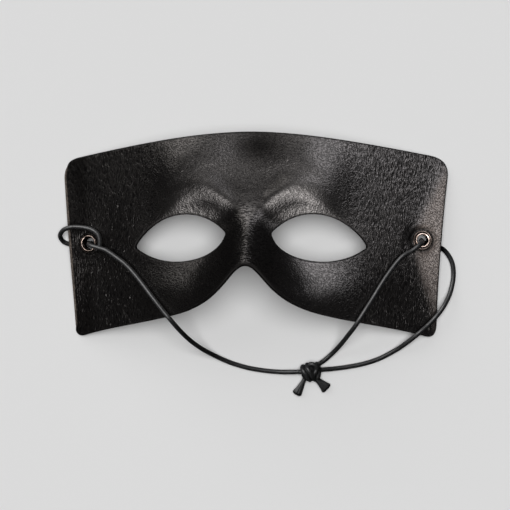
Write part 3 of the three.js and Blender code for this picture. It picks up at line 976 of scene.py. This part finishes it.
def braided_tube(path):
    """(points, faces, groove depths, which the cover paints dark as shade) of the cord round the
    path, closed at both ends.
    """
    radius, sides = CORD_DIAMETER / 2, CORD_SIDES
    side, up = sweep_frames(path)
    lengths = np.concatenate([[0], np.cumsum(np.linalg.norm(np.diff(path, axis=0), axis=1))])
    turn = np.arange(sides) / sides
    relief = braid_height(turn[None, :], lengths[:, None])
    reach = radius + BRAID_RELIEF * (relief - BRAID_MIDDLE)
    angle = 2 * math.pi * turn[None, :, None]
    around = side[:, None, :] * np.cos(angle) + up[:, None, :] * np.sin(angle)
    points = (path[:, None, :] + around * reach[:, :, None]).reshape(-1, 3)
    faces = []
    for i in range(len(path) - 1):
        here, there = i * sides, (i + 1) * sides
        for k in range(sides):
            m = (k + 1) % sides
            faces.append([here + k, here + m, there + m, there + k])
    groove = (1 - relief).reshape(-1)

    # Each end closes in a shallow dome: an inner ring and a tip
    inner_share, inner_rise, tip_rise = 0.72, 0.22, 0.32
    last = len(path) - 1
    for end, neighbour in ((0, 1), (last, last - 1)):
        outward = path[end] - path[neighbour]
        outward /= np.linalg.norm(outward)
        ring = end * sides
        inner_first = len(points)
        inner = path[end] + inner_share * (points[ring:ring + sides] - path[end])
        inner += outward * inner_rise * radius
        tip = path[end] + outward * tip_rise * radius
        points = np.concatenate([points, inner, [tip]])
        groove = np.concatenate([groove, np.zeros(sides + 1)])
        for k in range(sides):
            m = (k + 1) % sides
            quad = [ring + k, inner_first + k, inner_first + m, ring + m]
            cap = [inner_first + k, inner_first + sides, inner_first + m]
            faces.append(quad if end == last else quad[::-1])
            faces.append(cap if end == last else cap[::-1])
    return points, faces, groove


def build_cord(name, route, nodes, cover):
    path, length = spline_points(route, CORD_STEP)
    points, faces, groove = braided_tube(path)
    piece = new_mesh(name, points, faces)
    add_attribute(piece, "groove", groove)
    piece.data.materials.append(cover)
    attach(piece, "root")
    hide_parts(*nodes)
    return piece


# Knot

def tail_mesh(tail):
    """A short end of cord, flattened, spread towards its tip and creased along its length."""
    start, end = Vector(tail["from"]), Vector(tail["to"])
    length = (end - start).length
    direction = (end - start).normalized()
    across = Vector((-direction.y, direction.x, 0)).normalized()
    up = across.cross(direction)
    points, shade_and_burnt_tip = [], []
    for i in range(TAIL_RINGS):
        t = i / (TAIL_RINGS - 1)
        width = tail["start"] + (tail["end"] - tail["start"]) * t ** 1.6
        thick = tail["start"] + (tail["thick"] - tail["start"]) * t
        closed = max(0.0, (t - TAIL_CLOSE) / (1 - TAIL_CLOSE))
        close = math.sqrt(1 - 0.62 * closed ** 2)
        for k in range(TAIL_SIDES):
            angle = 2 * math.pi * k / TAIL_SIDES
            fold = (0.5 + 0.5 * math.cos(TAIL_FOLDS * angle + 1.3)) ** 2
            crease = 1 - 0.20 * t * fold
            wobble = 1 + 0.05 * t * math.sin(3 * angle + 5 * t)
            point = start + direction * (length * t)
            point += across * (0.5 * width * close * crease * wobble * math.cos(angle))
            point += up * (0.5 * thick * close * crease * math.sin(angle))
            points.append(tuple(point))
            # Painted shade in the tail's creases; the burnt tip is black
            shade_and_burnt_tip.append(max(0.6 * t * fold, float(smoothstep(t, 0.82, 0.97))))
    faces = []
    for i in range(TAIL_RINGS - 1):
        here, there = i * TAIL_SIDES, (i + 1) * TAIL_SIDES
        for k in range(TAIL_SIDES):
            m = (k + 1) % TAIL_SIDES
            faces.append([here + k, here + m, there + m, there + k])
    faces.append(list(range(TAIL_SIDES))[::-1])
    faces.append([(TAIL_RINGS - 1) * TAIL_SIDES + k for k in range(TAIL_SIDES)])
    return points, faces, shade_and_burnt_tip


def core_mesh():
    """The pulled-tight middle of the knot, an egg that closes the gaps between its turns and is
    painted dark as the shade between them.
    """
    around, rings = 32, 16
    x, y, z = KNOT_CENTRE
    half_x, half_y, half_z = KNOT_CORE
    points = [(x, y, z - half_z)]
    for i in range(1, rings):
        lift = math.pi * i / rings - math.pi / 2
        for k in range(around):
            angle = 2 * math.pi * k / around
            points.append((
                x + half_x * math.cos(lift) * math.cos(angle),
                y + half_y * math.cos(lift) * math.sin(angle),
                z + half_z * math.sin(lift),
            ))
    points.append((x, y, z + half_z))
    top = len(points) - 1
    faces = []
    for k in range(around):
        m = (k + 1) % around
        faces.append([0, 1 + m, 1 + k])
        for i in range(rings - 2):
            here, there = 1 + i * around, 1 + (i + 1) * around
            faces.append([here + k, here + m, there + m, there + k])
        faces.append([1 + (rings - 2) * around + k, 1 + (rings - 2) * around + m, top])
    return points, faces, [CORE_SHADE] * len(points)


def build_knot(cover):
    parts = [braided_tube(spline_points(turn, TURN_STEP)[0]) for turn in [KNOT_NECK] + KNOT_TURNS]
    parts += [tail_mesh(tail) for tail in KNOT_TAILS]
    parts.append(core_mesh())
    points, faces, groove = [], [], []
    for part_points, part_faces, part_groove in parts:
        first = len(points)
        points.extend(tuple(point) for point in part_points)
        faces.extend([first + i for i in face] for face in part_faces)
        groove.extend(part_groove)
    piece = new_mesh("tied_knot", points, faces)
    add_attribute(piece, "groove", groove)
    piece.data.materials.append(cover)
    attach(piece, "root")
    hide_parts("knot")
    return piece


# Floor and light

def build_floor():
    """Pale matt paper, which gives no mirror image to the leather and the metal."""
    bpy.ops.mesh.primitive_plane_add(size=FLOOR_SIZE, location=(0, 0, -FLOOR_GAP))
    floor = bpy.context.object
    floor.name = "floor"
    n = Nodes("floor_paper")
    tint = n.noise(n.position(), 0.004, 2.0)
    colour = n.mix_colour(tint, (0.690, 0.690, 0.690), (0.700, 0.700, 0.700))
    floor.data.materials.append(n.finish(colour, 0.9, Specular_IOR_Level=0.0))
    floor.visible_glossy = False
    return floor


def soft_light(name, tilt_x, tilt_y, strength, spread, pieces, colour=(1, 1, 1)):
    """A far, wide light for the given pieces, turned from straight above towards +X and +Y."""
    data = bpy.data.lights.new(name, "SUN")
    data.color = colour
    data.energy = strength
    data.angle = math.radians(spread)
    light = bpy.data.objects.new(name, data)
    direction = Vector((math.tan(math.radians(tilt_x)), math.tan(math.radians(tilt_y)), 1))
    light.rotation_euler = direction.to_track_quat("Z", "Y").to_euler()
    light.location = direction.normalized()
    bpy.context.collection.objects.link(light)
    lit = bpy.data.collections.new(name + "_lit")
    for piece in pieces:
        lit.objects.link(piece)
    light.light_linking.receiver_collection = lit


def light_scene(floor, glossy, cords):
    """Two lights for the floor, softboxes for the leather and the metal, and one for the cords."""
    world = bpy.data.worlds.new("studio")
    world.use_nodes = True
    background = world.node_tree.nodes["Background"]
    background.inputs["Color"].default_value = (1, 1, 1, 1)
    background.inputs["Strength"].default_value = WORLD_STRENGTH
    bpy.context.scene.world = world

    # Each light's tilts towards +X and +Y, its strength, its spread, what it lights, its colour
    soft_light("floor_light", 5, 4, 2.68, 36, [floor])
    soft_light("low_floor_light", -45, 50, 0.90, 60, [floor])
    soft_light("right_softbox", 36, 30, 1.42, 36, glossy, RIGHT_TINT)
    soft_light("top_softbox", -6, 53, 1.04, 38, glossy, MIDDLE_TINT)
    soft_light("front_softbox", 4, 3, 0.62, 50, glossy, MIDDLE_TINT)
    soft_light("bottom_softbox", -3, -22, 3.65, 34, glossy, MIDDLE_TINT)
    soft_light("left_softbox", -42, 47, 1.04, 36, glossy, LEFT_TINT)
    soft_light("cord_softbox", -38, 38, 2.9, 44, cords)
    bpy.context.scene.view_settings.view_transform = "Standard"


point_camera()
eyelet_finish = eyelet_metal()
cord_finish = elastic_cover()
tied_knot = build_knot(cord_finish)
elastic_pieces = [
    tied_knot,
    build_cord("elastic_left", LEFT_CORD_ROUTE, ["cord_left"],
               cord_finish),
    build_cord("elastic_right", RIGHT_CORD_ROUTE, ["cord_right_run", "cord_right_loop"],
               cord_finish),
]
glossy_pieces = [build_leather()] + [build_eyelet(side, eyelet_finish) for side in EYELET_PLACES]
light_scene(build_floor(), glossy_pieces, elastic_pieces)
